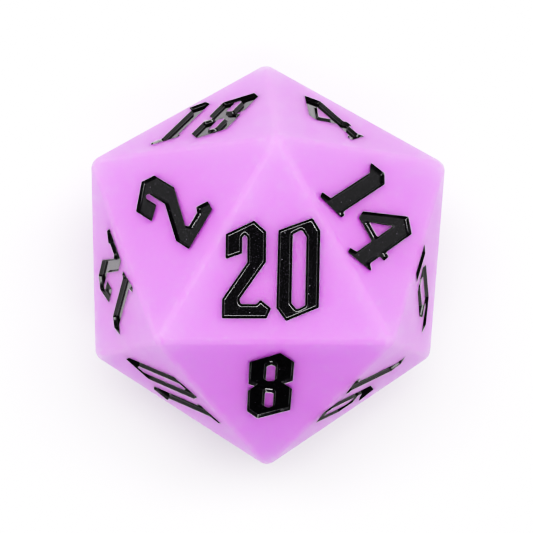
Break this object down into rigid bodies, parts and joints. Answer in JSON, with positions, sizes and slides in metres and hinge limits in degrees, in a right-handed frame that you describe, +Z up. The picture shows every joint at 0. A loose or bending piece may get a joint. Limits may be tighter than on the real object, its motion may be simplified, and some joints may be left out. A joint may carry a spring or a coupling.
{
  "type": "twenty-sided die",
  "caption": "Large soft polyhedral gaming die: a solid moulded icosahedron in milky lilac silicone with sunken, black-filled angular numerals.",
  "frame": {"origin": "middle of the bottom face, which carries the 1, on the surface the die rests on", "axes": "+Z up, the outward normal of the face with the 20; +Y towards the corner the top of the 20 points at; +X to the right of the 20"},
  "size_m": [0.0586, 0.067, 0.055],
  "materials": {
    "body_silicone": "satin, milky translucent",
    "number_paint": "gloss black"
  },
  "bodies": {
    "root": {"die_body": "body_silicone", "paint_1": "number_paint", "paint_2": "number_paint", "paint_3": "number_paint", "paint_4": "number_paint", "paint_5": "number_paint", "paint_6": "number_paint", "paint_6_bar": "number_paint", "paint_7": "number_paint", "paint_8": "number_paint", "paint_9": "number_paint", "paint_9_bar": "number_paint", "paint_10_tens": "number_paint", "paint_10_units": "number_paint", "paint_11_tens": "number_paint", "paint_11_units": "number_paint", "paint_12_tens": "number_paint", "paint_12_units": "number_paint", "paint_13_tens": "number_paint", "paint_13_units": "number_paint", "paint_14_tens": "number_paint", "paint_14_units": "number_paint", "paint_15_tens": "number_paint", "paint_15_units": "number_paint", "paint_16_tens": "number_paint", "paint_16_units": "number_paint", "paint_17_tens": "number_paint", "paint_17_units": "number_paint", "paint_18_tens": "number_paint", "paint_18_units": "number_paint", "paint_19_tens": "number_paint", "paint_19_units": "number_paint", "paint_20_tens": "number_paint", "paint_20_units": "number_paint"}
  },
  "joints": []
}
